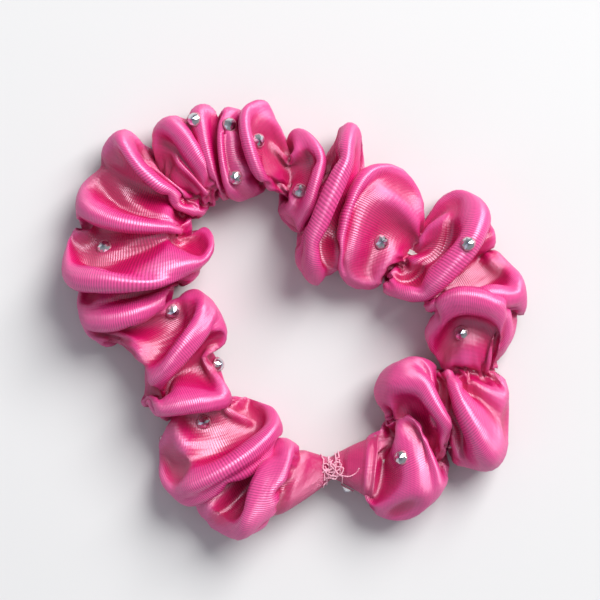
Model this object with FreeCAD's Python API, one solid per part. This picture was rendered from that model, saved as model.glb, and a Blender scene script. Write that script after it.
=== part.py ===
"""A satin scrunchie: a gathered cloth tube on a loop of flat elastic, lying on a table, with faceted metal studs.

Row frame, millimetres: +Z up, the table is z = 0, the origin is under the middle of the loop's outer box.
The tube's closing seam is on the -Y side. Sections run counter-clockwise as seen from above, starting at that seam.

The tube is a hollow solid in two halves, because a rigid body can't stretch: the far half slides along +Y.
"""

import FreeCAD, Part
import math
import os
from FreeCAD import Vector

# ---- driving dimensions, mm -------------------------------------------------------------------------------
CLOTH_WALL = 0.9            # the bunched cloth of one wall of the tube
TABLE_DIP = 0.45            # how far a fold would sag below the table: it is flattened there
FOLD_RISE = 3.0             # a fold's half height is this plus FOLD_RISE_SHARE of its width
FOLD_RISE_SHARE = 0.21
GATHER_SHARE = 0.66         # a gather's half height, as a share of a fold of the same width
GATHER_HALF_HEIGHT = 3.6    # but never less than this, so that the elastic passes through
SECTION_POINTS = 16         # poles of each closed section curve

ELASTIC_WIDTH = 4.0         # flat braided elastic, standing on its edge inside the tube
ELASTIC_THICKNESS = 1.0
ELASTIC_HEIGHT = 5.4        # height of its middle above the table
ELASTIC_PULL = 0.25         # it is taut, so it lies this share of a half width nearer the hole
ELASTIC_SMOOTHING = 2       # and cuts across the bends of the tube: averaging passes
ELASTIC_LAP = 10.0          # its two ends lie side by side over this length
ELASTIC_STEP = 3.0

STUD_RADIUS = 1.4           # SS10 hot-fix faceted stud
STUD_HEIGHT = 1.15
STUD_RIM = 0.22
STUD_WALL = 0.14
STUD_SIDES = 8
GLUE_DEPTH = 0.25           # the hot-melt glue soaks this far into the cloth

THREAD = 0.30               # sewing thread diameter
STITCH = 2.2
STITCH_PITCH = 3.0
TACK_STITCHES = 5

# ---- the folds of the gathered tube -----------------------------------------------------------------------
# Each section runs from the edge of the loop's hole to the outer edge: (hole x, y, outer x, y).
# A "fold" is a crest, a "gather" is the crease between two crests.
NEAR_RIGHT = [
    ("gather", 8.2, -29.5, 8.6, -35.2),
    ("fold", 17.2, -26.6, 17.6, -38.7),
    ("gather", 19.2, -27.0, 18.6, -38.0),
    ("fold", 22.0, -25.5, 26.5, -37.4),
    ("gather", 21.4, -23.6, 31.4, -28.8),
    ("fold", 25.0, -13.4, 33.0, -27.6),
    ("gather", 31.4, -13.2, 34.0, -26.6),
    ("fold", 33.2, -11.6, 43.4, -27.0),
    ("gather", 35.8, -8.4, 44.6, -12.3),
    ("fold", 32.6, -4.4, 47.4, -4.6),
    ("gather", 31.4, 0.2, 48.0, 0.2),
]
FAR = [
    ("gather", 31.4, 0.6, 48.0, 0.6),
    ("fold", 30.0, 1.8, 48.8, 5.4),
    ("gather", 28.6, 4.2, 42.4, 15.4),
    ("fold", 23.4, 5.0, 36.0, 25.0),
    ("gather", 20.9, 8.6, 28.9, 22.0),
    ("fold", 16.4, 8.2, 22.4, 30.8),
    ("gather", 13.4, 11.0, 14.6, 27.2),
    ("fold", 5.6, 11.0, 13.2, 34.4),
    ("gather", 1.6, 16.6, 8.4, 36.0),
    ("fold", -0.2, 19.8, 4.4, 38.0),
    ("gather", 0.2, 23.6, 2.6, 36.6),
    ("fold", -2.6, 25.0, -2.0, 43.0),
    ("gather", -5.4, 27.6, -5.4, 42.6),
    ("fold", -8.2, 25.4, -8.6, 45.8),
    ("gather", -11.0, 25.8, -11.6, 43.0),
    ("fold", -12.8, 25.2, -16.8, 46.0),
    ("gather", -15.0, 25.6, -20.0, 43.6),
    ("fold", -16.6, 25.2, -26.0, 44.0),
    ("gather", -18.0, 24.6, -30.2, 36.6),
    ("fold", -20.0, 22.8, -37.4, 37.6),
    ("gather", -22.4, 22.0, -42.0, 32.2),
    ("fold", -22.6, 20.8, -46.0, 26.6),
    ("gather", -21.4, 20.2, -46.4, 19.8),
    ("fold", -19.4, 16.2, -49.0, 15.4),
    ("gather", -25.2, 9.6, -48.8, 9.8),
    ("fold", -26.2, 7.0, -48.0, 4.6),
    ("gather", -27.0, 5.1, -43.6, 0.1),
]
NEAR_LEFT = [
    ("gather", -27.0, 4.6, -43.6, -0.4),
    ("fold", -20.8, 3.4, -44.6, -4.4),
    ("gather", -18.2, -1.6, -36.0, -9.6),
    ("fold", -14.8, -10.4, -34.8, -15.0),
    ("gather", -13.2, -17.4, -27.6, -20.6),
    ("fold", -5.4, -22.4, -27.6, -33.4),
    ("gather", -7.2, -25.6, -19.0, -35.2),
    ("fold", -3.4, -28.4, -11.6, -46.0),
    ("gather", 8.2, -29.5, 8.6, -35.2),
]

# ---- the studs: a point near each one's seat; it sits on the nearest cloth, square to it ---------------------
STUDS_NEAR = [
    (22.4, -29.6, 12.0), (34.0, -27.0, 6.5), (23.2, -15.0, 8.5), (35.4, -3.2, 12.5), (31.0, -13.2, 5.0),
    (43.8, -12.4, 5.5), (11.2, -37.2, 5.0), (16.0, -25.4, 6.0), (-3.4, -27.4, 9.0), (-13.6, -45.4, 6.0),
    (-20.8, -20.2, 16.0), (-26.2, 2.2, 16.0), (-30.0, -27.0, 4.0), (-13.0, -9.0, 5.0), (44.0, -21.5, 4.0),
]
STUDS_FAR = [
    (38.6, 15.6, 15.0), (18.6, 16.4, 16.0), (0.8, 27.6, 13.0), (-7.4, 38.8, 16.0), (-12.2, 30.2, 14.0),
    (-13.0, 42.6, 13.5), (-21.4, 43.4, 11.0), (-41.4, 15.4, 16.0), (26.0, 28.0, 4.5), (10.0, 13.0, 5.6),
    (-38.0, 36.0, 4.5), (-20.5, 14.0, 4.5), (47.0, 8.0, 4.0),
]

# ---- the closing thread: turns round the neck, and a knot with stitches and a loose tail ----------------------
WRAPS = [-0.55, 0.0, 0.55]  # where each turn lies, along the tube from the neck
WRAP_TILT = 6               # degrees
KNOT = (8.6, -32.1, 9.3)
KNOT_RADIUS = 0.75
THREAD_RUNS = [
    [(8.6, -32.1, 9.3), (5.6, -30.6, 9.9)],
    [(8.6, -32.1, 9.3), (11.4, -31.0, 9.9)],
    [(8.6, -32.1, 9.3), (10.4, -33.5, 10.1), (12.4, -33.5, 10.7), (14.4, -32.8, 11.0)],
]


def along(start, end, share):
    return start + (end - start) * share


def section_sizes(section):
    """The middle, the direction towards the outer edge, and the two half sizes of one section."""
    kind, hole_x, hole_y, outer_x, outer_y = section
    hole, outer = Vector(hole_x, hole_y, 0), Vector(outer_x, outer_y, 0)
    width = (outer - hole).Length
    half_height = FOLD_RISE + FOLD_RISE_SHARE * width
    middle_height = half_height - TABLE_DIP
    if kind == "gather":
        half_height = max(half_height * GATHER_SHARE, GATHER_HALF_HEIGHT)
        middle_height = max(middle_height, ELASTIC_HEIGHT)
    middle = (hole + outer) * 0.5 + Vector(0, 0, middle_height)
    return middle, (outer - hole).normalize(), width / 2, half_height


def section_poles(section, inset):
    """The poles of one closed section curve, drawn in by inset all round."""
    middle, outward, half_width, half_height = section_sizes(section)
    swell = 3 / (2 + math.cos(2 * math.pi / SECTION_POINTS))
    poles = []
    for i in range(SECTION_POINTS):
        turn = 2 * math.pi * i / SECTION_POINTS
        poles.append(middle + outward * ((half_width - inset) * swell * math.cos(turn))
                     + Vector(0, 0, (half_height - inset) * swell * math.sin(turn)))
    return poles


def puff_face(first, fold, last, inset):
    """The cloth of one puff: a closed surface from gather to gather that passes through its fold."""
    start, crest, end = (section_poles(s, inset) for s in (first, fold, last))
    bulge = [c * 2 - (s + e) * 0.5 for s, c, e in zip(start, crest, end)]
    rows = [[s, b, e] for s, b, e in zip(start, bulge, end)]
    surface = Part.BSplineSurface()
    surface.buildFromPolesMultsKnots(
        rows, [1] * (SECTION_POINTS + 1), [3, 3], list(range(SECTION_POINTS + 1)), [0, 1], True, False, 3, 2)
    return surface.toShape()


def tube_faces(sections, inset):
    return [puff_face(*sections[i:i + 3], inset) for i in range(0, len(sections) - 2, 2)]


def end_ring(section):
    """The cut end of the tube's wall at one gather."""
    wires = []
    for inset in (0, CLOTH_WALL):
        curve = Part.BSplineCurve()
        curve.buildFromPolesMultsKnots(section_poles(section, inset), [1] * (SECTION_POINTS + 1),
                                       list(range(SECTION_POINTS + 1)), True, 3)
        wires.append(Part.Wire(curve.toShape()))
    return Part.Face(wires[0]).cut(Part.Face(wires[1])).Faces[0]


def half_cover(sections):
    """One half of the tube: hollow, and flat where it lies on the table."""
    faces = tube_faces(sections, 0) + tube_faces(sections, CLOTH_WALL)
    faces += [end_ring(sections[0]), end_ring(sections[-1])]
    shell = Part.makeShell(faces)
    shell.sewShape()
    hollow = Part.makeSolid(shell)
    if hollow.Volume < 0:
        hollow.reverse()
    under_table = Part.makeBox(300, 300, 20, Vector(-150, -150, -20))
    return hollow.cut(under_table)


def loop_line(sections):
    """The elastic's closed line: through the sections, nearer the hole, with the bends evened out."""
    points = []
    for section in sections[:-1]:
        middle, outward, half_width, _ = section_sizes(section)
        pulled = middle - outward * (ELASTIC_PULL * max(0.0, half_width - ELASTIC_WIDTH))
        points.append(Vector(pulled.x, pulled.y, ELASTIC_HEIGHT))
    for _ in range(ELASTIC_SMOOTHING):
        points = [(points[i - 1] + points[i] * 2 + points[(i + 1) % len(points)]) * 0.25
                  for i in range(len(points))]
    curve = Part.BSplineCurve()
    curve.interpolate(Points=points, PeriodicFlag=True)
    return curve


def elastic_side(line, length, offset_at):
    """One long side of the elastic as a curve in plan, offset to the right of the line."""
    steps = round((length + ELASTIC_LAP) / ELASTIC_STEP)
    points = []
    for i in range(steps + 1):
        run = (length + ELASTIC_LAP) * i / steps - ELASTIC_LAP / 2
        parameter = line.parameterAtDistance(run % length, line.FirstParameter)
        tangent = line.tangent(parameter)[0]
        side = Vector(tangent.y, -tangent.x, 0)
        points.append(line.value(parameter) + side * offset_at(run))
    curve = Part.BSplineCurve()
    curve.interpolate(Points=points)
    return curve


def elastic_band(line, length):
    """The flat elastic, with its two ends side by side over the lap."""
    ease = 3 * ELASTIC_LAP

    def centre_offset(run):
        start = max(0.0, min(1.0, (ease - run) / (ease - ELASTIC_LAP / 2)))
        end = max(0.0, min(1.0, (run - length + ease) / (ease - ELASTIC_LAP / 2)))
        return (end - start) * (ELASTIC_THICKNESS / 2 + 0.05)

    half = ELASTIC_THICKNESS / 2
    inner = elastic_side(line, length, lambda run: centre_offset(run) - half).toShape()
    outer = elastic_side(line, length, lambda run: centre_offset(run) + half).toShape()
    start_edge = Part.makeLine(inner.Vertexes[0].Point, outer.Vertexes[0].Point)
    end_edge = Part.makeLine(inner.Vertexes[-1].Point, outer.Vertexes[-1].Point)
    face = Part.Face(Part.Wire([inner, end_edge, outer, start_edge]))
    face.translate(Vector(0, 0, -ELASTIC_WIDTH / 2))
    return face.extrude(Vector(0, 0, ELASTIC_WIDTH))


def elastic_tack(line):
    """The bar tack that joins the elastic's ends: short stitches through both layers."""
    start = line.value(line.FirstParameter)
    tangent = line.tangent(line.FirstParameter)[0]
    side = Vector(tangent.y, -tangent.x, 0)
    stitches = []
    for i in range(TACK_STITCHES):
        share = i / (TACK_STITCHES - 1) - 0.5
        middle = start + tangent * (share * ELASTIC_LAP * 0.7) + Vector(0, 0, share * ELASTIC_WIDTH * 0.6)
        length = 2 * ELASTIC_THICKNESS + 2 * THREAD
        stitches.append(Part.makeCylinder(THREAD / 2, length, middle - side * (length / 2), side))
    return Part.makeCompound(stitches)


def stitch(start, end):
    return Part.makeCylinder(THREAD / 2, (end - start).Length, start, end - start)


def seam_thread(cover, sections):
    """The stitches of the tube's long seam, on the inside of the wall, low on the hole's side."""
    seam_turn = math.radians(222)
    stitches, carried = [], 0.0
    for here, there in zip(sections, sections[1:]):
        ends = []
        for section in (here, there):
            middle, outward, half_width, half_height = section_sizes(section)
            inset = CLOTH_WALL
            ends.append(middle + outward * ((half_width - inset) * math.cos(seam_turn))
                        + Vector(0, 0, (half_height - inset) * math.sin(seam_turn)))
        length = (ends[1] - ends[0]).Length
        run = STITCH_PITCH - carried
        while run + STITCH / 2 < length:
            middle = along(ends[0], ends[1], run / length)
            seat = cover.distToShape(Part.Vertex(middle))[1][0][0]
            way = (ends[1] - ends[0]).normalize() * (STITCH / 2)
            stitches.append(stitch(seat - way, seat + way))
            run += STITCH_PITCH
        carried = (length - (run - STITCH_PITCH)) % STITCH_PITCH
    return Part.makeCompound(stitches)


def regular_wire(radius, height):
    points = []
    for i in range(STUD_SIDES + 1):
        turn = 2 * math.pi * (i % STUD_SIDES) / STUD_SIDES
        points.append(Vector(radius * math.cos(turn), radius * math.sin(turn), height))
    return Part.makePolygon(points)


def faceted(radius, rim, height):
    """A faceted cone with a short straight rim, standing on z = 0."""
    shoulder = rim + (height - rim) * 0.52
    levels = [(radius, 0), (radius, rim), (radius * 0.62, shoulder), (radius * 0.12, height)]
    tiers = []
    for (low_r, low_z), (high_r, high_z) in zip(levels, levels[1:]):
        tiers.append(Part.makeLoft([regular_wire(low_r, low_z), regular_wire(high_r, high_z)], True, True))
    return tiers[0].multiFuse(tiers[1:]).removeSplitter()


def seat_on(cover, target):
    """The placement of a stud on the cloth nearest to the target, standing square to it."""
    distance, pairs, info = cover.distToShape(Part.Vertex(Vector(*target)))
    seat = pairs[0][0]
    upward = Vector(*target) - seat
    if info[0][0] == "Face":
        face = cover.Faces[info[0][1]]
        upward = face.normalAt(*info[0][2])
    return FreeCAD.Placement(seat, FreeCAD.Rotation(Vector(0, 0, 1), upward))


def stud_pieces(cover, targets):
    """Each stud's shell, its plug of glue and the hollow that the two press into the cloth."""
    outside = faceted(STUD_RADIUS, STUD_RIM, STUD_HEIGHT)
    inside = faceted(STUD_RADIUS - STUD_WALL, STUD_RIM, STUD_HEIGHT - STUD_WALL)
    shell = outside.cut(inside)
    plug_edge = regular_wire(STUD_RADIUS - STUD_WALL, -GLUE_DEPTH)
    plug = Part.Face(plug_edge).extrude(Vector(0, 0, GLUE_DEPTH + STUD_RIM))
    hollow = outside.fuse(plug)
    places = [seat_on(cover, target) for target in targets]
    return [[placed(shape, place) for place in places] for shape in (shell, plug, hollow)]


def placed(shape, place):
    moved = shape.copy()
    moved.Placement = place.multiply(moved.Placement)
    return moved


def thread_wrap(neck, shift):
    """One turn of thread round the neck."""
    middle, outward, half_width, half_height = section_sizes(neck)
    lengthwise = Vector(outward.y, -outward.x, 0)
    turn = Part.makeTorus(half_width, THREAD / 2)
    stretch = FreeCAD.Matrix()
    stretch.scale(1, half_height / half_width, 1)
    turn = turn.transformGeometry(stretch)
    upright = FreeCAD.Rotation(outward, Vector(0, 0, 1), lengthwise, "XYZ")
    lean = FreeCAD.Rotation(Vector(0, 0, 1), WRAP_TILT)
    turn.Placement = FreeCAD.Placement(middle + lengthwise * shift, lean.multiply(upright))
    return turn


def closing_thread(neck):
    """Turns of thread round the neck, and a knot with two stitches and its cut tail."""
    pieces = [thread_wrap(neck, shift) for shift in WRAPS]
    pieces.append(Part.makeSphere(KNOT_RADIUS, Vector(*KNOT)))
    for run in THREAD_RUNS:
        for start, end in zip(run, run[1:]):
            pieces.append(stitch(Vector(*start), Vector(*end)))
            pieces.append(Part.makeSphere(THREAD / 2, Vector(*end)))
    return pieces[0].multiFuse(pieces[1:])


def save(name, shape):
    shape.exportStep(f"parts/{name}.step")
    print(f"{name:18s} {len(shape.Solids):3d} solids  volume {shape.Volume:9.2f} mm3  valid {shape.isValid()}")


def save_half(side, sections, targets, first_number):
    """Writes one half's cloth, seam, glue and studs; the studs are pressed into the cloth."""
    cover = half_cover(sections)
    seam = seam_thread(cover, sections)
    shells, plugs, hollows = stud_pieces(cover, targets)
    save(f"cover_{side}", cover.cut(hollows))
    save(f"seam_thread_{side}", seam)
    save(f"stud_glue_{side}", Part.makeCompound(plugs))
    for number, shell in enumerate(shells, first_number):
        save(f"stud_{number:02d}", shell)


def main():
    os.makedirs("parts", exist_ok=True)
    save_half("near", NEAR_LEFT + NEAR_RIGHT[1:], STUDS_NEAR, 1)
    save_half("far", FAR, STUDS_FAR, 1 + len(STUDS_NEAR))
    save("closing_thread", closing_thread(NEAR_RIGHT[0]))

    around = NEAR_RIGHT + FAR[1:] + NEAR_LEFT[1:]
    line = loop_line(around)
    length = line.length()
    tack = elastic_tack(line)
    save("elastic_band", elastic_band(line, length).cut(tack))
    save("elastic_tack", tack)
    print(f"elastic loop {length:.1f} mm")


main()
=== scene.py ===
"""The looks of a satin scrunchie, over its CAD frame: gathered cloth, faceted studs, threads and elastic."""

import math

import bpy
import numpy as np
from mathutils import Matrix, Vector
from mathutils.bvhtree import BVHTree


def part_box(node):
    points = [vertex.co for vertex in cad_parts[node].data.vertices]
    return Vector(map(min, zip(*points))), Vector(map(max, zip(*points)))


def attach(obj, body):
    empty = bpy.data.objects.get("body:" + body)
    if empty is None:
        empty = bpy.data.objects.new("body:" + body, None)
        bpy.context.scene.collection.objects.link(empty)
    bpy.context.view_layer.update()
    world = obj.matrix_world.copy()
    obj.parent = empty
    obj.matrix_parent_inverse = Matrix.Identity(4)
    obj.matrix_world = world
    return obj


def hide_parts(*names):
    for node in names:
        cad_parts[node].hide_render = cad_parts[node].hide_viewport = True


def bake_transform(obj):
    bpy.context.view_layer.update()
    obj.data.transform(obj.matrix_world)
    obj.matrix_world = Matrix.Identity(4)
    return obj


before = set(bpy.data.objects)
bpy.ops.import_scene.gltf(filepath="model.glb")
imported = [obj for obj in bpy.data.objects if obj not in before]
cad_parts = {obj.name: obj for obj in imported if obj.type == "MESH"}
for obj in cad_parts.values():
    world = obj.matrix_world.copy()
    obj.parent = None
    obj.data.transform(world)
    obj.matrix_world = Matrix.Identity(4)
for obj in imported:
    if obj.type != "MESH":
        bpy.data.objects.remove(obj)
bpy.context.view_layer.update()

MM = 0.001

# ---- the cloth tube ---------------------------------------------------------------------------------------
TUBE_ROUND = 68.0           # mm round the tube, for the weave's scale
TUBE_LONG = 390.0           # mm along it
ROWS = 260                  # of the simulated cloth, doubled afterwards
COLUMNS = 44
OUTLINE_ROUNDNESS = 0.70    # lower is fuller
CREST_ROUNDNESS = 0.95
SECTION_ROUNDNESS = 0.85
LEAN_ROUNDNESS = 0.7        # how the lean grows from a section's sides to its top
LEAN_SHARE = 1.2            # a lean of 1 moves the top by this share of the puff's length
SHORTEST_PUFF = 4.0         # mm: a shorter puff leans like one of this length
UNDERSIDE_RISE = 2.2        # mm that the underside lifts off the table at each gather
UNDERSIDE_ROUNDNESS = 0.6
TABLE_GAP = 0.3             # mm under the whole tube before the cloth settles
START_INSET = 3.6           # mm: the tube starts slimmer, and the slack cloth fills it out
TOP_INSET_SHARE = 0.6       # of that, what the top is lowered by
LOW_TOP, TOP_FADE = 9, 4    # mm: tops below the first aren't lowered, and the rest fade in over the second
NARROW, WIDTH_FADE = 5, 8   # mm: the same for the tube's width
CLOTH_THICKNESS = 0.22      # mm
RIB_PITCH = 0.38            # mm between the ribs of the weave, where the tube isn't spread out
WEFT_PITCH = 0.60           # mm between the weave's cross threads
CREST_RANGE = 2.2           # mm from the deepest hollows to the highest crests, for the painted shade in the hollows and the painted highlight on the crests
COARSE_BLUR, FINE_BLUR = 40, 10     # rounds of smoothing that give the level that crests are measured from

# places along the course: the tube isn't slimmed before the first or after the last of these
FULL_SIZE_ENDS = [1.5, 6.0, 22.3, 22.8]
SLEEVE = 22.7               # from this place on the cloth is the flat sleeve, and it keeps its shape
SIM_SCALE = 20.0            # the cloth solver is tuned for metre-sized cloth, so it works on a larger model
SLACK = 0.38                # how much longer the cloth is than the shape it starts from
HOLD = 0.30                 # how firmly each point is held near its place
BENDING = 26.0
SIM_FRAMES = 16
MOVE_CAP = 3.6              # mm that a point may move
HELD_END_ROWS = 3           # rows held fully at the start of the tube
TABLE_CONTACT = 0.3         # mm that the cloth keeps from the table
SELF_CONTACT = 0.5          # mm that it keeps from itself

# The tube's course, counter-clockwise from its end inside the sleeve to the sleeve's hem, in mm.
# gather: (hole x, y, outer x, y, top);  fold: the same and its lean towards the next gather
COURSE = [
    (12.6, -31.4, 12.6, -34.6, 7.6),
    (15.2, -28.6, 15.4, -37.0, 9.0, 0.0),
    (18.4, -27.0, 18.0, -38.4, 9.2),
    (21.6, -23.4, 25.6, -39.6, 13.0, 0.25),
    (21.4, -21.8, 31.0, -30.6, 9.5),
    (21.4, -12.6, 32.0, -27.0, 14.0, 0.35),
    (31.2, -12.6, 33.8, -27.6, 8.5),
    (33.0, -11.0, 44.4, -29.0, 13.0, -0.1),
    (33.8, -10.2, 44.0, -12.2, 9.5),
    (29.6, -3.6, 46.6, -6.4, 15.0, 0.5),
    (30.6, 0.2, 48.2, 1.4, 9.5),
    (27.8, 1.2, 49.6, 7.4, 14.5, -0.15),
    (28.0, 4.2, 43.0, 15.4, 9.0),
    (19.6, 4.4, 38.0, 27.0, 15.5, -0.3),
    (20.6, 9.0, 29.0, 21.6, 9.0),
    (13.6, 6.2, 23.0, 32.6, 16.0, 0.35),
    (12.6, 11.0, 17.0, 27.6, 9.0),
    (10.6, 10.4, 15.6, 29.6, 12.0, 0.0),
    (9.6, 10.8, 14.2, 27.0, 9.5),
    (2.4, 8.0, 13.4, 41.8, 16.5, 0.1),
    (0.8, 17.4, 7.0, 35.2, 9.5),
    (-1.0, 19.0, 2.6, 42.0, 14.0, -0.3),
    (-2.6, 24.0, -1.2, 38.6, 9.5),
    (-4.4, 25.2, -6.6, 47.2, 15.5, 0.3),
    (-7.4, 27.0, -10.0, 42.6, 10.0),
    (-10.6, 25.2, -13.6, 46.6, 14.5, 0.2),
    (-13.6, 26.0, -17.0, 43.6, 11.0),
    (-15.0, 25.4, -20.4, 46.8, 13.5, 0.0),
    (-16.8, 26.2, -23.4, 43.4, 11.5),
    (-17.0, 24.6, -30.0, 42.8, 14.0, -0.2),
    (-19.4, 24.0, -30.6, 34.6, 9.0),
    (-19.6, 22.6, -39.4, 40.0, 13.5, 0.2),
    (-22.6, 22.2, -42.4, 32.6, 9.5),
    (-22.0, 20.6, -47.4, 27.4, 14.5, 0.3),
    (-22.0, 18.8, -46.4, 20.2, 9.5),
    (-17.6, 15.6, -50.4, 12.4, 17.0, 0.2),
    (-23.8, 9.0, -46.4, 6.0, 10.5),
    (-26.4, 8.4, -47.0, 0.4, 14.0, 0.3),
    (-26.2, 4.2, -42.6, -5.6, 9.0),
    (-17.4, 3.4, -36.0, -11.6, 15.0, 0.15),
    (-15.8, -6.6, -33.8, -18.6, 12.0),
    (-12.6, -16.4, -33.0, -19.4, 14.5, 0.1),
    (-12.4, -17.8, -28.8, -23.0, 9.0),
    (-3.8, -20.6, -28.6, -36.8, 15.5, 0.25),
    (-5.6, -26.2, -20.4, -36.2, 9.0),
    (-3.2, -27.0, -14.4, -46.2, 15.0, 0.1),
    (7.4, -30.4, 8.0, -34.8, 8.4),
    (12.6, -27.6, 12.2, -37.0, 9.2, 0.0),
    (18.2, -25.4, 16.6, -39.5, 10.8),
]

# Small folds on each puff, by its number along the course. A fold runs from the hole's side to the outside:
# (place along the puff at the hole, place at the outside, depth, width before it, width behind it), mm;
# a depth below zero is a ridge.
CREASES = {
    1: [(0.35, 0.60, 1.2, 1.6, 1.0)],
    2: [(0.20, 0.45, -1.2, 1.4, 1.4), (0.60, 0.75, 2.0, 2.6, 0.9)],
    3: [(0.30, 0.15, 1.8, 0.9, 2.6), (0.55, 0.45, -2.2, 2.2, 2.2), (0.80, 0.80, 1.5, 1.6, 1.6)],
    4: [(0.20, 0.30, 1.8, 2.0, 2.0), (0.50, 0.62, -1.8, 2.4, 2.4), (0.82, 0.85, 1.8, 2.4, 0.9)],
    5: [(0.25, 0.30, 1.8, 0.9, 2.4), (0.60, 0.65, -1.6, 2.0, 2.0), (0.85, 0.80, 1.0, 1.2, 1.2)],
    6: [(0.22, 0.18, 2.0, 0.9, 2.8), (0.50, 0.45, -2.0, 2.6, 2.6), (0.78, 0.72, 1.8, 2.8, 1.0)],
    7: [(0.45, 0.40, 1.9, 3.0, 0.9), (0.75, 0.70, -1.4, 1.6, 1.6)],
    8: [(0.50, 0.50, 1.2, 1.2, 1.2)],
    9: [(0.18, 0.30, 1.6, 1.6, 1.6), (0.42, 0.50, -1.8, 2.2, 2.2), (0.62, 0.68, 1.8, 2.0, 1.4),
        (0.84, 0.86, 1.0, 1.0, 1.0)],
    10: [(0.40, 0.45, -1.2, 1.8, 1.8), (0.70, 0.65, 1.2, 1.4, 1.4)],
    11: [(0.30, 0.35, 1.7, 2.4, 0.9), (0.55, 0.60, -1.4, 1.8, 1.8), (0.80, 0.75, 1.5, 1.2, 1.2)],
    12: [(0.45, 0.50, 1.6, 1.6, 1.0), (0.75, 0.75, -1.0, 1.4, 1.4)],
    13: [(0.40, 0.35, 1.4, 2.0, 2.0), (0.70, 0.65, -1.2, 1.8, 1.8)],
    14: [(0.25, 0.20, -1.4, 2.4, 2.4), (0.60, 0.65, 1.7, 2.4, 1.0), (0.85, 0.85, 0.9, 1.2, 1.2)],
    15: [(0.45, 0.15, 1.6, 0.9, 2.2), (0.70, 0.45, -1.7, 1.8, 1.8), (0.88, 0.60, 1.6, 1.0, 2.4)],
    16: [(0.50, 0.10, 1.4, 1.0, 2.0), (0.65, 0.45, -1.8, 2.2, 2.2), (0.85, 0.65, 1.6, 2.4, 0.9)],
    17: [(0.06, 0.34, 1.3, 1.0, 2.4), (0.66, 0.22, 1.4, 2.2, 1.0), (0.48, 0.62, -2.2, 2.4, 2.4),
         (0.78, 0.92, 1.9, 2.8, 0.9)],
    18: [(0.10, 0.45, 1.5, 1.0, 1.8), (0.50, 0.60, -2.4, 2.6, 2.6), (0.90, 0.66, 1.6, 2.0, 0.9)],
    19: [(0.12, 0.42, 1.2, 1.4, 1.0), (0.32, 0.60, -2.0, 1.4, 1.4), (0.58, 0.84, 1.5, 1.0, 4.0)],
    20: [(0.40, 0.50, -1.2, 2.6, 2.6), (0.75, 0.75, 1.0, 1.6, 1.6)],
    21: [(0.20, 0.25, 1.5, 1.6, 1.6), (0.38, 0.40, -1.4, 1.6, 1.6), (0.56, 0.55, 1.4, 1.4, 1.4),
         (0.74, 0.72, -1.0, 1.4, 1.4), (0.86, 0.86, 1.2, 1.2, 1.2)],
    22: [(0.12, 0.30, 2.0, 1.0, 2.6), (0.34, 0.50, -2.0, 1.6, 1.6), (0.62, 0.75, 1.0, 1.2, 1.2)],
    23: [(0.30, 0.22, 0.5, 0.6, 0.6), (0.82, 0.82, -0.5, 0.5, 0.5), (0.93, 0.93, 0.5, 0.6, 0.6)],
}
CREASE_DEPTH = 1.35         # scales all the folds' depths
CREASE_OVERHANG = 0.55      # a hollow leans towards its steep side by this share of its depth
CREASE_REACH = 0.35         # how far the folds run down the tube's sides, as a sine of the turn
CREASE_END = 0.04           # share of the width at each end where a fold's taper stops falling

# ---- studs, threads and elastic, mm ------------------------------------------------------------------------
STUDS_NEAR = range(1, 16)
STUDS_FAR = range(16, 29)
STUD_RADIUS = 1.4
STUD_RIM = 0.22
STUD_HEIGHT = 1.15
STUD_SIDES = 8
STUD_TURN = 0.7             # radians from one stud's facets to the next one's
STUD_LIFT = 0.35            # the glue holds it this far off the cloth
CROWN_RADIUS = 0.62         # where the lower ring of facets meets the upper one, as a share of the radius
CROWN_HEIGHT = 0.55         # and as a share of the height
TOP_STUD_HEIGHT = 10.0      # a stud above this is seated from above, so that it stays in view
GLUE_RADIUS = 1.62
GLUE_HEIGHT = 0.14
GLUE_TOP_SHARE = 0.9        # the dot's top is this share of its width
GLUE_SIDES = 20
SUNK = 0.1                  # studs and glue go on this far below their seat: a share of the stud, mm of glue
THREAD = 0.30
FIRST_SIDE = (0.3, 0.2, 1.0)        # the way across a thread at its first point is worked out from this
TWIST_LENGTH = 1.1          # one turn of the thread's two plies
PLY_RADIUS = THREAD * 0.29
WRAP_LIFT = 0.6             # the wraps' middle line lies this share of a thread off the cloth
SEAM_TURN = 222             # degrees round the tube: low, on the hole's side
SEAM_SPLIT = 0.3            # mm: the far seam is beyond this y
STITCH_ROWS = 3             # rows of cloth that a stitch covers, out of every four
PINCH_PUFF = 23.0           # the closing thread wraps the gather at the start of this puff
WRAP_SHIFTS = [-1.6, -0.8, 0.0, 0.7, 1.5]
WRAP_TILTS = [0.8, -0.6, 0.3, -0.9, 0.5]
LOOPS = [                   # from the knot, mm
    [(0, 0, 0), (-1.1, 1.2, 0.5), (-2.0, 0.6, 0.3), (-1.2, -0.5, 0.7), (0.4, 0.3, 0.5), (1.0, 1.3, 0.2)],
    [(0, 0, 0), (0.8, 1.5, 0.6), (2.1, 1.1, 0.4), (1.5, -0.2, 0.7), (-0.5, -0.7, 0.6), (-1.4, 0.6, 0.2)],
    [(0, 0, 0), (-0.7, -1.5, 0.4), (0.8, -2.2, 0.2), (1.3, -0.9, 0.6), (-0.2, 0.8, 0.7), (0.2, 1.9, 0.3)],
    [(0, 0, 0), (-1.5, -0.4, 0.6), (-2.2, -1.6, 0.1), (-0.4, -1.9, 0.5), (0.9, 0.2, 0.9), (-0.8, 1.8, 0.3)],
    [(0, 0, 0), (1.3, 0.5, 0.8), (2.6, 0.1, 0.4), (1.7, -1.5, 0.4), (-0.6, -1.2, 0.8), (-1.9, 0.2, 0.4)],
    [(0, 0, 0), (1.8, -1.2, 0.9), (3.8, -1.6, 0.8), (5.4, -0.8, 0.6), (6.0, 0.2, 0.9)],
]

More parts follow.
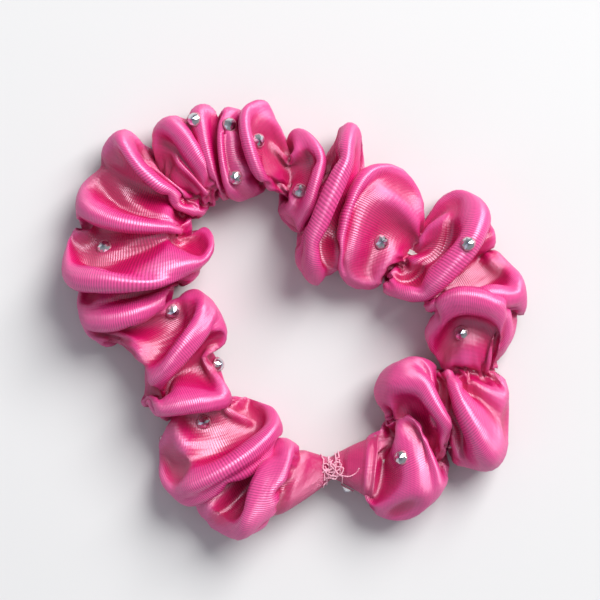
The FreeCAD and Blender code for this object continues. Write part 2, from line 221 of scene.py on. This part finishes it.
# ---- how the loop stretches --------------------------------------------------------------------------------
NEAR, FAR = "near_half", "far_half"
STRETCH_FROM = -0.028       # carry's share from the near half to the far half starts at this y and is full at STRETCH_TO, but isn't applied
STRETCH_TO = 0.044

# ---- view --------------------------------------------------------------------------------------------------
CAMERA_PLACE = (0.001, 0.004, 0.600)
VIEW_WIDTH = 0.132          # metres of table across the picture
TABLE_HALF = 1.5            # metres
SENSOR = 36.0


# ---- the cover's shape -------------------------------------------------------------------------------------
def course_sections(steps=60):
    """The hole's edge, outer edge, top, lean, underside and puff number at each place of the course."""
    parts = []
    for k in range(0, len(COURSE) - 2, 2):
        before, fold, after = (np.array(section, float) for section in COURSE[k:k + 3])
        t = np.arange(steps) / steps
        swell = np.sin(math.pi * t) ** OUTLINE_ROUNDNESS
        crest = np.sin(math.pi * t) ** CREST_ROUNDNESS
        base = before[:4] + (after[:4] - before[:4]) * t[:, None]
        edges = base + (fold[:4] - (before[:4] + after[:4]) / 2) * swell[:, None]
        level = before[4] + (after[4] - before[4]) * t
        top = level + (fold[4] - (before[4] + after[4]) / 2) * crest
        way = (after[:2] + after[2:4] - before[:2] - before[2:4]) / 2
        length = np.linalg.norm(way)
        amount = max(length, SHORTEST_PUFF) * fold[5] * LEAN_SHARE * np.sin(math.pi * t)
        lean = way / length * amount[:, None]
        under = UNDERSIDE_RISE * (1 - np.sin(math.pi * t) ** UNDERSIDE_ROUNDNESS)
        parts.append(np.column_stack([edges, top, lean, under, k / 2 + t]))
    return np.concatenate(parts)


def tube_points():
    """The starting shape as rows of rings, evenly spaced along the tube, and each row's puff number."""
    sections = course_sections()
    hole, outer, top = sections[:, 0:2], sections[:, 2:4], sections[:, 4]
    inset = START_INSET * np.interp(sections[:, 8], FULL_SIZE_ENDS, [0, 1, 1, 0])
    top = top - TOP_INSET_SHARE * inset * np.clip((top - LOW_TOP) / TOP_FADE, 0, 1)
    lean, under, place = sections[:, 5:7], sections[:, 7], sections[:, 8]
    turn = np.arange(COLUMNS) * 2 * math.pi / COLUMNS
    cosine, sine = np.cos(turn), np.sin(turn)
    sideways = np.sign(cosine) * np.abs(cosine) ** SECTION_ROUNDNESS
    upward = np.sign(sine) * np.abs(sine) ** SECTION_ROUNDNESS
    width = np.linalg.norm(outer - hole, axis=1)
    outward = (outer - hole) / width[:, None]
    width = width - 2 * inset * np.clip((width - NARROW) / WIDTH_FADE, 0, 1)
    rings = np.zeros((len(hole), COLUMNS, 3))
    reach = (outward * (width / 2)[:, None])[:, None, :] * sideways[None, :, None]
    leaning = lean[:, None, :] * (np.clip(sine, 0, 1) ** LEAN_ROUNDNESS)[None, :, None]
    rings[:, :, :2] = ((hole + outer) / 2)[:, None, :] + reach + leaning
    rings[:, :, 2] = ((top + under) / 2)[:, None] + ((top - under) / 2)[:, None] * upward + TABLE_GAP
    steps = np.linalg.norm(np.diff(rings, axis=0), axis=2)[:, :COLUMNS // 2 + 1].mean(axis=1)
    run = np.concatenate([[0], np.cumsum(steps)])
    even = np.linspace(0, run[-1], ROWS)
    points = np.zeros((ROWS, COLUMNS, 3))
    for column in range(COLUMNS):
        for axis in range(3):
            points[:, column, axis] = np.interp(even, run, rings[:, column, axis])
    return points, np.interp(even, run, place)


def grid_faces(rows, columns):
    """The quads of a tube of rings, facing outwards."""
    faces = []
    for i in range(rows - 1):
        for j in range(columns):
            k = (j + 1) % columns
            faces.append((i * columns + j, (i + 1) * columns + j, (i + 1) * columns + k, i * columns + k))
    return faces


def new_object(name, vertices, faces, material=None, smooth=True):
    """A mesh object; its vertices are in metres."""
    mesh = bpy.data.meshes.new(name)
    mesh.from_pydata([tuple(map(float, v)) for v in vertices], [], faces)
    mesh.polygons.foreach_set("use_smooth", [smooth] * len(mesh.polygons))
    mesh.update()
    obj = bpy.data.objects.new(name, mesh)
    bpy.context.collection.objects.link(obj)
    if material:
        mesh.materials.append(material)
    return obj


def table_for_cloth():
    """A plane for the simulation only."""
    half = 0.2 * SIM_SCALE
    corners = [(-half, -half, 0), (half, -half, 0), (half, half, 0), (-half, half, 0)]
    plane = new_object("cloth_table", corners, [(0, 1, 2, 3)])
    plane.modifiers.new("stop", "COLLISION")
    return plane


def filled_out(points, place):
    """The slack cloth buckles in the cloth solver, held loosely to its place and lying on the table."""
    scale = MM * SIM_SCALE
    cloth = new_object("cloth_model", points.reshape(-1, 3) * scale, grid_faces(ROWS, COLUMNS))
    held = cloth.vertex_groups.new(name="held")
    for row in range(ROWS):
        ring = list(range(row * COLUMNS, (row + 1) * COLUMNS))
        fixed = row < HELD_END_ROWS or place[row] > SLEEVE
        held.add(ring, 1.0 if fixed else HOLD, "REPLACE")
    solver = cloth.modifiers.new("cloth", "CLOTH")
    settings = solver.settings
    settings.quality = 5
    settings.mass = 0.3
    settings.air_damping = 2
    settings.tension_stiffness = 15
    settings.compression_stiffness = 15
    settings.shear_stiffness = 5
    settings.bending_stiffness = BENDING
    settings.vertex_group_mass = "held"
    settings.pin_stiffness = 1.0
    settings.shrink_min = -SLACK
    contact = solver.collision_settings
    contact.distance_min = TABLE_CONTACT * scale
    contact.collision_quality = 2
    contact.use_self_collision = True
    contact.self_distance_min = SELF_CONTACT * scale
    solver.point_cache.frame_start = 1
    solver.point_cache.frame_end = SIM_FRAMES + 1
    plane = table_for_cloth()
    for step in range(1, SIM_FRAMES + 2):
        bpy.context.scene.frame_set(step)
    evaluated = cloth.evaluated_get(bpy.context.evaluated_depsgraph_get())
    flat = np.zeros(ROWS * COLUMNS * 3)
    evaluated.data.vertices.foreach_get("co", flat)
    bpy.data.objects.remove(cloth)
    bpy.data.objects.remove(plane)
    bpy.context.scene.frame_set(1)
    move = flat.reshape(ROWS, COLUMNS, 3) / scale - points
    size = np.linalg.norm(move, axis=2, keepdims=True)
    return points + move * np.minimum(1, MOVE_CAP / np.maximum(size, 1e-9))


def doubled(values, wraps):
    """Twice as fine along the first axis, by the four-point rule."""
    if wraps:
        before, after, far = (np.roll(values, shift, axis=0) for shift in (1, -1, -2))
    else:
        before = np.concatenate([values[:1], values[:-1]])
        after = np.concatenate([values[1:], values[-1:]])
        far = np.concatenate([values[2:], values[-1:], values[-1:]])
    middle = (9 * (values + after) - before - far) / 16
    fine = np.stack([values, middle], axis=1).reshape(-1, *values.shape[1:])
    return fine if wraps else fine[:-1]


def blurred(values, times):
    """Averaged with the neighbours along and round the tube."""
    for _ in range(times):
        ends = np.concatenate([values[:1], values, values[-1:]])
        values = (ends[:-2] + 2 * ends[1:-1] + ends[2:]) / 4
        values = (np.roll(values, 1, axis=1) + 2 * values + np.roll(values, -1, axis=1)) / 4
    return values


def unit(vectors):
    return vectors / np.maximum(np.linalg.norm(vectors, axis=-1, keepdims=True), 1e-9)


def outward_normals(points):
    round_tube = np.roll(points, -1, axis=1) - np.roll(points, 1, axis=1)
    along_tube = np.gradient(points, axis=0)
    return unit(np.cross(along_tube, round_tube))


def creased(points, place):
    """The small folds of CREASES, sunk in the top of the cloth, or raised where their depth is negative."""
    columns = points.shape[1]
    turn = np.arange(columns) * 2 * math.pi / columns
    across = (1 + np.cos(turn)) / 2
    steps = np.linalg.norm(np.diff(blurred(points, 6), axis=0), axis=2).mean(axis=1)
    run = np.concatenate([[0], np.cumsum(steps)])
    normals = unit(blurred(outward_normals(points), 4))
    along_tube = unit(np.gradient(blurred(points, 4), axis=0))
    facing_up = np.clip(np.sin(turn) + CREASE_REACH, 0, 1)
    taper = np.sin(math.pi * np.clip(across, CREASE_END, 1 - CREASE_END)) ** 0.5
    moved = points.copy()
    for puff, folds in CREASES.items():
        for at_hole, at_outside, depth, before, behind in folds:
            line = np.interp(puff + at_hole + (at_outside - at_hole) * across, place, run)
            distance = run[:, None] - line[None, :]
            width = np.where(distance < 0, before, behind)
            sink = CREASE_DEPTH * depth * np.exp(-(distance / width) ** 2) * (facing_up * taper)[None, :]
            steep_way = np.sign(before - behind)
            moved -= normals * sink[:, :, None]
            moved += along_tube * (np.maximum(sink, 0) * steep_way * CREASE_OVERHANG)[:, :, None]
    moved[:, :, 2] = np.maximum(moved[:, :, 2], CLOTH_THICKNESS)
    return moved


def cover_points():
    """The finished cloth as rows of rings in mm, and each row's puff number."""
    points, place = tube_points()
    points = filled_out(points, place)
    points = doubled(points, wraps=False)
    points = np.swapaxes(doubled(np.swapaxes(points, 0, 1), wraps=True), 0, 1)
    place = doubled(place, wraps=False)
    return creased(points, place), place


def satin_cover(points, material):
    """The cloth as an outer and an inner face with a turned edge at both ends, and its UVs in mm of cloth."""
    rows, columns = points.shape[:2]
    inner = points - outward_normals(points) * CLOTH_THICKNESS
    outer_faces = grid_faces(rows, columns)
    shift = rows * columns
    inner_faces = [tuple(shift + v for v in reversed(face)) for face in outer_faces]
    edge_faces = []
    for j in range(columns):
        k = (j + 1) % columns
        last = (rows - 1) * columns
        edge_faces.append((j, k, shift + k, shift + j))
        edge_faces.append((shift + last + j, shift + last + k, last + k, last + j))
    vertices = np.concatenate([points.reshape(-1, 3), inner.reshape(-1, 3)]) * MM
    cover = new_object("satin_cover", vertices, outer_faces + inner_faces + edge_faces, material)
    mesh = cover.data
    corners = np.zeros(len(mesh.loops), int)
    mesh.loops.foreach_get("vertex_index", corners)
    row, column = (corners % shift) // columns, (corners % columns).astype(float)
    by_face = column.reshape(-1, 4)
    crossing = by_face.max(axis=1) - by_face.min(axis=1) > columns / 2
    by_face[crossing] = np.where(by_face[crossing] == 0, columns, by_face[crossing])
    places = np.column_stack([row * TUBE_LONG / (rows - 1), by_face.ravel() * TUBE_ROUND / columns])
    mesh.uv_layers.new(name="cloth").data.foreach_set("uv", places.ravel())
    # crest: the cloth's height over its smoothed surface, which the satin turns into painted shade in the
    # hollows and a painted highlight on the crests; the inner face gets half of it, so it takes more painted
    # shade
    facing = outward_normals(blurred(points, FINE_BLUR))
    depth = ((points - blurred(points, COARSE_BLUR)) * facing).sum(axis=2)
    crest = np.clip(0.5 + depth / CREST_RANGE, 0, 1).ravel()
    attribute = mesh.attributes.new("crest", "FLOAT", "POINT")
    attribute.data.foreach_set("value", np.concatenate([crest, crest * 0.5]).astype(np.float32))
    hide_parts("cover_near", "cover_far")
    stretch(cover)
    return cover


def stretch(obj):
    """Bakes the piece's transform into its mesh."""
    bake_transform(obj)


def carry(obj, y):
    """The whole piece keeps its shape; its share between the halves is worked out from y but not applied, and
    its transform is baked into its mesh.
    """
    share = (y - STRETCH_FROM) / (STRETCH_TO - STRETCH_FROM)
    share = min(1.0, max(0.0, share))
    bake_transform(obj)


# ---- studs -------------------------------------------------------------------------------------------------
def seat(tree, number):
    """Where a stud of the frame sits on the visible cloth: the point and the way it faces."""
    low, high = (Vector(corner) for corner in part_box(f"stud_{number:02d}"))
    centre = (low + high) / 2
    point = None
    if centre.z > TOP_STUD_HEIGHT * MM:
        point, normal, _, _ = tree.ray_cast(Vector((centre.x, centre.y, 0.1)), Vector((0, 0, -1)))
    if point is None:
        point, normal, _, _ = tree.find_nearest(centre)
    else:
        normal = (normal + Vector((0, 0, 1))).normalized()
    return point + normal * (STUD_LIFT * MM), normal


def placing(point, normal):
    return Matrix.Translation(point) @ normal.to_track_quat("Z", "Y").to_matrix().to_4x4()


def stud(number, point, normal, material):
    """A faceted cone: a rim, a ring of steep facets, a ring of flatter ones and a point."""
    rings = [(1.0, -SUNK), (1.0, STUD_RIM / STUD_HEIGHT), (CROWN_RADIUS, CROWN_HEIGHT)]
    vertices = []
    for k, (share, level) in enumerate(rings):
        for i in range(STUD_SIDES):
            turn = 2 * math.pi * (i + 0.5 * (k == 2)) / STUD_SIDES
            radius = STUD_RADIUS * share
            vertices.append((radius * math.cos(turn), radius * math.sin(turn), STUD_HEIGHT * level))
    vertices.append((0, 0, STUD_HEIGHT))
    faces = []
    for i in range(STUD_SIDES):
        j = (i + 1) % STUD_SIDES
        rim, base, crown = i + STUD_SIDES, j + STUD_SIDES, 2 * STUD_SIDES
        faces.append((i, j, base, rim))
        faces.append((rim, base, crown + i))
        faces.append((base, crown + j, crown + i))
        faces.append((crown + i, crown + j, 3 * STUD_SIDES))
    faces.append(tuple(reversed(range(STUD_SIDES))))
    matrix = placing(point, normal) @ Matrix.Rotation(number * STUD_TURN, 4, "Z") @ Matrix.Scale(MM, 4)
    placed = [matrix @ Vector(v) for v in vertices]
    piece = new_object(f"stud_look_{number:02d}", placed, faces, material, False)
    height = [max(0.0, v[2] / STUD_HEIGHT) for v in vertices]
    piece.data.attributes.new("height", "FLOAT", "POINT").data.foreach_set("value", height)
    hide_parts(f"stud_{number:02d}")
    carry(piece, point.y)


def glue_dots(name, node, seats, material):
    """The hot-melt glue that squeezes out under each stud of one half, as low irregular rings."""
    sides = GLUE_SIDES
    vertices, faces = [], []
    for k, (point, normal) in enumerate(seats):
        matrix = placing(point, normal) @ Matrix.Scale(MM, 4)
        start = len(vertices)
        for level, share in ((-SUNK, 1.0), (GLUE_HEIGHT, GLUE_TOP_SHARE)):
            for i in range(sides):
                turn = 2 * math.pi * i / sides
                uneven = 1 + 0.05 * math.sin(3 * turn + k) + 0.03 * math.sin(5 * turn + 2 * k)
                radius = GLUE_RADIUS * share * uneven
                vertices.append(matrix @ Vector((radius * math.cos(turn), radius * math.sin(turn), level)))
        for i in range(sides):
            j = (i + 1) % sides
            faces.append((start + i, start + j, start + sides + j, start + sides + i))
        faces.append(tuple(range(start + sides, start + 2 * sides)))
        faces.append(tuple(reversed(range(start, start + sides))))
    piece = new_object(name, vertices, faces, material)
    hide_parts(node)
    stretch(piece)


# ---- threads and elastic -----------------------------------------------------------------------------------
def smooth_line(points, steps=10):
    """A Catmull-Rom line through the points."""
    points = [Vector(p) for p in points]
    padded = [2 * points[0] - points[1]] + points + [2 * points[-1] - points[-2]]
    line = []
    for a, b, c, d in zip(padded, padded[1:], padded[2:], padded[3:]):
        for i in range(steps):
            t = i / steps
            line.append(0.5 * (2 * b + (c - a) * t + (2 * a - 5 * b + 4 * c - d) * t ** 2
                               + (3 * b - a - 3 * c + d) * t ** 3))
    return line + [points[-1]]


def tube(line, radius, vertices, faces, sides=6):
    """Adds a round tube along the line, with closed ends."""
    start = len(vertices)
    side = Vector(FIRST_SIDE)
    for i, point in enumerate(line):
        way = (line[min(i + 1, len(line) - 1)] - line[max(i - 1, 0)]).normalized()
        side = (side - way * side.dot(way)).normalized()
        other = way.cross(side)
        for k in range(sides):
            turn = 2 * math.pi * k / sides
            vertices.append(point + (side * math.cos(turn) + other * math.sin(turn)) * radius)
    for i in range(len(line) - 1):
        for k in range(sides):
            a, b = start + i * sides + k, start + i * sides + (k + 1) % sides
            faces.append((a, b, b + sides, a + sides))
    faces.append(tuple(reversed(range(start, start + sides))))
    faces.append(tuple(range(len(vertices) - sides, len(vertices))))


def twisted(line, vertices, faces):
    """Adds a two-ply thread along the line."""
    side, run = Vector(FIRST_SIDE), 0.0
    plies = ([], [])
    for i, point in enumerate(line):
        way = (line[min(i + 1, len(line) - 1)] - line[max(i - 1, 0)]).normalized()
        side = (side - way * side.dot(way)).normalized()
        other = way.cross(side)
        run += (point - line[i - 1]).length if i else 0.0
        turn = 2 * math.pi * run / TWIST_LENGTH
        offset = (side * math.cos(turn) + other * math.sin(turn)) * THREAD / 4
        plies[0].append(point + offset)
        plies[1].append(point - offset)
    for ply in plies:
        tube(ply, PLY_RADIUS, vertices, faces)


def closing_thread(points, place, material):
    """The tangled thread round the pinch: tilted wraps on the cloth, loops from the knot and the tail."""
    normals = outward_normals(points)
    middle = int(np.searchsorted(place, PINCH_PUFF))
    columns = points.shape[1]
    turn = np.arange(columns + 1) * 2 * math.pi / columns
    vertices, faces = [], []
    for shift, tilt in zip(WRAP_SHIFTS, WRAP_TILTS):
        wrap = []
        for j, angle in enumerate(turn):
            row = int(round(middle + 2 * shift + 2 * tilt * math.cos(angle)))
            j = j % columns
            wrap.append(Vector(points[row, j] + normals[row, j] * THREAD * WRAP_LIFT))
        twisted(smooth_line(wrap, 3), vertices, faces)
    top = columns // 4
    knot = Vector(points[middle, top] + normals[middle, top] * THREAD)
    for loop in LOOPS:
        twisted(smooth_line([knot + Vector(p) for p in loop]), vertices, faces)
    piece = new_object("closing_thread_look", [v * MM for v in vertices], faces, material)
    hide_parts("closing_thread")
    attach(piece, NEAR)


def seam_stitches(name, node, points, rows, material):
    """The stitches of the long seam, just inside the cloth, over the given rows."""
    normals = outward_normals(points)
    column = round(SEAM_TURN / 360 * points.shape[1])
    vertices, faces = [], []
    for start in range(rows.start, rows.stop - STITCH_ROWS, STITCH_ROWS + 1):
        line = []
        for row in range(start, start + STITCH_ROWS + 1):
            line.append(Vector(points[row, column] - normals[row, column] * (CLOTH_THICKNESS + THREAD / 2)))
        tube(line, THREAD / 2, vertices, faces)
    piece = new_object(name, [v * MM for v in vertices], faces, material)
    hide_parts(node)
    stretch(piece)


def elastic(material):
    """The frame's elastic, copied as a piece of its own."""
    node = "elastic_band"
    source = bpy.data.objects[node].data
    vertices = [v.co.copy() for v in source.vertices]
    faces = [tuple(p.vertices) for p in source.polygons]
    piece = new_object("elastic_look", vertices, faces, material, False)
    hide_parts(node)
    stretch(piece)


# ---- materials ---------------------------------------------------------------------------------------------
def node_material(name):
    material = bpy.data.materials.new(name)
    material.use_nodes = True
    tree = material.node_tree
    return material, tree, tree.nodes["Principled BSDF"]


def ramp(tree, factor, stops):
    """A colour ramp fed by a socket."""
    node = tree.nodes.new("ShaderNodeValToRGB")
    while len(node.color_ramp.elements) < len(stops):
        node.color_ramp.elements.new(0.5)
    for element, (position, colour) in zip(node.color_ramp.elements, stops):
        element.position = position
        element.color = (*colour, 1)
    tree.links.new(factor, node.inputs["Fac"])
    return node.outputs["Color"]


def noise(tree, vector, scale, detail=3.0):
    node = tree.nodes.new("ShaderNodeTexNoise")
    node.inputs["Scale"].default_value = scale
    node.inputs["Detail"].default_value = detail
    tree.links.new(vector, node.inputs["Vector"])
    return node.outputs["Fac"]


def bands(tree, vector, direction, pitch):
    """Even waves across the given direction, a pitch apart."""
    node = tree.nodes.new("ShaderNodeTexWave")
    node.bands_direction = direction
    node.inputs["Scale"].default_value = 2 * math.pi / 20 / pitch
    tree.links.new(vector, node.inputs["Vector"])
    return node.outputs["Fac"]


def bump(tree, height, distance, under=None):
    node = tree.nodes.new("ShaderNodeBump")
    node.inputs["Distance"].default_value = distance
    tree.links.new(height, node.inputs["Height"])
    if under:
        tree.links.new(under, node.inputs["Normal"])
    return node.outputs["Normal"]


def multiplied(tree, first, second):
    node = tree.nodes.new("ShaderNodeMix")
    node.data_type = "RGBA"
    node.blend_type = "MULTIPLY"
    node.inputs[0].default_value = 1.0
    tree.links.new(first, node.inputs[6])
    tree.links.new(second, node.inputs[7])
    return node.outputs[2]


def satin():
    """Hot-pink satin: ribs along the tube with painted shade between them, painted shade (crimson) in the
    hollows and a painted highlight (paler) on the crests, unevenly glossy.
    """
    material, tree, shader = node_material("hot_pink_satin")
    links = tree.links
    cloth = tree.nodes.new("ShaderNodeUVMap")
    cloth.uv_map = "cloth"
    warp = bands(tree, cloth.outputs[0], "Y", RIB_PITCH)
    weft = bands(tree, cloth.outputs[0], "X", WEFT_PITCH)
    weave = tree.nodes.new("ShaderNodeMath")
    weave.operation = "MULTIPLY_ADD"
    links.new(weft, weave.inputs[0])
    weave.inputs[1].default_value = 0.20
    links.new(warp, weave.inputs[2])
    crest = tree.nodes.new("ShaderNodeAttribute")
    crest.attribute_name = "crest"
    # the crest ramp: painted shade, crimson, in the hollows and a painted highlight, paler, on the crests
    body = ramp(tree, crest.outputs["Fac"], [
        (0.20, (0.62, 0.001, 0.110)), (0.74, (0.76, 0.004, 0.175)), (1.00, (0.90, 0.070, 0.330))])
    # darker lines between the ribs and cross threads: painted shade in the weave's grooves
    thread = ramp(tree, weave.outputs[0], [(0.15, (0.62, 0.40, 0.56)), (0.85, (1, 1, 1))])
    streak = ramp(tree, noise(tree, cloth.outputs[0], 0.12), [(0.3, (0.88, 0.84, 0.90)), (0.7, (1, 1, 1))])
    colour = multiplied(tree, body, thread)
    links.new(multiplied(tree, colour, streak), shader.inputs["Base Color"])
    gloss = ramp(tree, noise(tree, cloth.outputs[0], 0.3), [(0.3, (0.35,) * 3), (0.7, (0.47,) * 3)])
    links.new(gloss, shader.inputs["Roughness"])
    pucker = bump(tree, noise(tree, cloth.outputs[0], 0.22, 2.0), 0.00035)
    links.new(bump(tree, weave.outputs[0], 0.000045, pucker), shader.inputs["Normal"])
    tangent = tree.nodes.new("ShaderNodeTangent")
    tangent.direction_type = "UV_MAP"
    tangent.uv_map = "cloth"
    links.new(tangent.outputs[0], shader.inputs["Tangent"])
    shader.inputs["Anisotropic"].default_value = 0.75
    shader.inputs["Anisotropic Rotation"].default_value = 0.25
    shader.inputs["Specular IOR Level"].default_value = 1.0
    shader.inputs["Sheen Weight"].default_value = 0.06
    shader.inputs["IOR"].default_value = 1.8
    shader.inputs["Specular Tint"].default_value = (1.0, 0.74, 0.93, 1)
    shader.inputs["Sheen Roughness"].default_value = 0.35
    shader.inputs["Sheen Tint"].default_value = (1.0, 0.45, 0.70, 1)
    return material


def thread_material(name, pale, deep, scale=900.0):
    """Spun thread: fine uneven fibres in two close shades."""
    material, tree, shader = node_material(name)
    place = tree.nodes.new("ShaderNodeTexCoord")
    fibres = noise(tree, place.outputs["Object"], scale, 6.0)
    tree.links.new(ramp(tree, fibres, [(0.3, deep), (0.7, pale)]), shader.inputs["Base Color"])
    tree.links.new(bump(tree, fibres, 0.00006), shader.inputs["Normal"])
    shader.inputs["Roughness"].default_value = 0.6
    shader.inputs["Sheen Weight"].default_value = 0.3
    return material


def elastic_material():
    """White braided elastic with ribs along it, darker between the ribs."""
    material, tree, shader = node_material("white_braid")
    place = tree.nodes.new("ShaderNodeTexCoord")
    rib = tree.nodes.new("ShaderNodeTexWave")
    rib.bands_direction = "Z"
    rib.inputs["Scale"].default_value = 2 * math.pi / 20 / (0.5 * MM)
    rib.inputs["Distortion"].default_value = 1.5
    tree.links.new(place.outputs["Object"], rib.inputs["Vector"])
    colour = ramp(tree, rib.outputs["Fac"], [(0.0, (0.55, 0.54, 0.52)), (0.7, (0.82, 0.81, 0.79))])
    tree.links.new(colour, shader.inputs["Base Color"])
    tree.links.new(bump(tree, rib.outputs["Fac"], 0.00015), shader.inputs["Normal"])
    shader.inputs["Roughness"].default_value = 0.7
    return material


def stud_material():
    """Bright plated facets, darker and bluer towards the point, with fine tarnish."""
    material, tree, shader = node_material("plated_stud")
    height = tree.nodes.new("ShaderNodeAttribute")
    height.attribute_name = "height"
    plating = ramp(tree, height.outputs["Fac"], [
        (0.0, (0.80, 0.80, 0.82)), (0.55, (0.72, 0.73, 0.77)), (1.0, (0.16, 0.18, 0.26))])
    place = tree.nodes.new("ShaderNodeTexCoord")
    tarnish = noise(tree, place.outputs["Object"], 1400.0, 4.0)
    dirt = ramp(tree, tarnish, [(0.3, (0.78, 0.78, 0.80)), (0.6, (1, 1, 1))])
    tree.links.new(multiplied(tree, plating, dirt), shader.inputs["Base Color"])
    tree.links.new(ramp(tree, tarnish, [(0.3, (0.24,) * 3), (0.7, (0.12,) * 3)]), shader.inputs["Roughness"])
    shader.inputs["Metallic"].default_value = 1.0
    return material


def glue_material():
    """Cloudy hot-melt glue."""
    material, tree, shader = node_material("cloudy_glue")
    place = tree.nodes.new("ShaderNodeTexCoord")
    cloud = noise(tree, place.outputs["Object"], 700.0)
    tree.links.new(ramp(tree, cloud, [(0.3, (0.45, 0.10, 0.18)), (0.7, (0.62, 0.22, 0.32))]),
                   shader.inputs["Base Color"])
    tree.links.new(bump(tree, cloud, 0.00004), shader.inputs["Normal"])
    shader.inputs["Roughness"].default_value = 0.3
    return material


def table_material():
    """Plain matt white."""
    material, _, shader = node_material("pale_table")
    shader.inputs["Base Color"].default_value = (0.69, 0.70, 0.705, 1)
    shader.inputs["Roughness"].default_value = 0.8
    return material


# ---- table, lights and camera ------------------------------------------------------------------------------
def floor():
    half = TABLE_HALF
    corners = [(-half, -half, 0), (half, -half, 0), (half, half, 0), (-half, half, 0)]
    new_object("table_top", corners, [(0, 1, 2, 3)], table_material())


def area_light(name, place, size, energy, colour):
    light = bpy.data.lights.new(name, "AREA")
    light.size = size
    light.energy = energy
    light.color = colour
    lamp = bpy.data.objects.new(name, light)
    lamp.location = place
    lamp.rotation_euler = (-Vector(place)).to_track_quat("-Z", "Y").to_euler()
    bpy.context.collection.objects.link(lamp)


def studio():
    """A soft key from the upper right, a cool fill from the lower left and a pale sky."""
    area_light("key", (0.78, 0.88, 1.14), 1.05, 41.0, (1.0, 0.98, 0.96))
    area_light("fill", (-0.70, -0.50, 0.60), 0.7, 0.8, (0.80, 0.74, 1.0))
    world = bpy.data.worlds.new("sky")
    world.use_nodes = True
    background = world.node_tree.nodes["Background"]
    background.inputs["Color"].default_value = (0.93, 0.95, 1.0, 1)
    background.inputs["Strength"].default_value = 0.34
    bpy.context.scene.world = world
    bpy.context.scene.view_settings.view_transform = "Standard"


def camera():
    """Straight down on the table."""
    lens = bpy.data.cameras.new("camera")
    lens.lens = SENSOR * CAMERA_PLACE[2] / VIEW_WIDTH
    lens.sensor_width = SENSOR
    eye = bpy.data.objects.new("camera", lens)
    eye.location = CAMERA_PLACE
    bpy.context.collection.objects.link(eye)
    bpy.context.scene.camera = eye


def build():
    points, place = cover_points()
    cover = satin_cover(points, satin())
    tree = BVHTree.FromPolygons([v.co.copy() for v in cover.data.vertices],
                                [tuple(p.vertices) for p in cover.data.polygons])
    metal, glue = stud_material(), glue_material()
    for half, numbers in (("near", STUDS_NEAR), ("far", STUDS_FAR)):
        seats = [seat(tree, number) for number in numbers]
        for number, (point, normal) in zip(numbers, seats):
            stud(number, point, normal, metal)
        glue_dots(f"glue_{half}", f"stud_glue_{half}", seats, glue)
    pink_thread = thread_material("pink_thread", (0.80, 0.12, 0.30), (0.55, 0.04, 0.16))
    pale_thread = thread_material("pale_pink_thread", (0.92, 0.52, 0.64), (0.78, 0.30, 0.45))
    far = np.nonzero(points.mean(axis=1)[:, 1] > SEAM_SPLIT)[0]
    first, last = int(far[0]), int(far[-1])
    seam_stitches("seam_look_far", "seam_thread_far", points, range(first, last), pink_thread)
    seam_stitches("seam_look_near", "seam_thread_near", points, range(0, first), pink_thread)
    closing_thread(points, place, pale_thread)
    elastic(elastic_material())
    tack = bpy.data.objects["elastic_tack"].data
    tack.materials.clear()
    tack.materials.append(thread_material("white_thread", (0.85, 0.84, 0.82), (0.62, 0.61, 0.60)))


build()
floor()
studio()
camera()
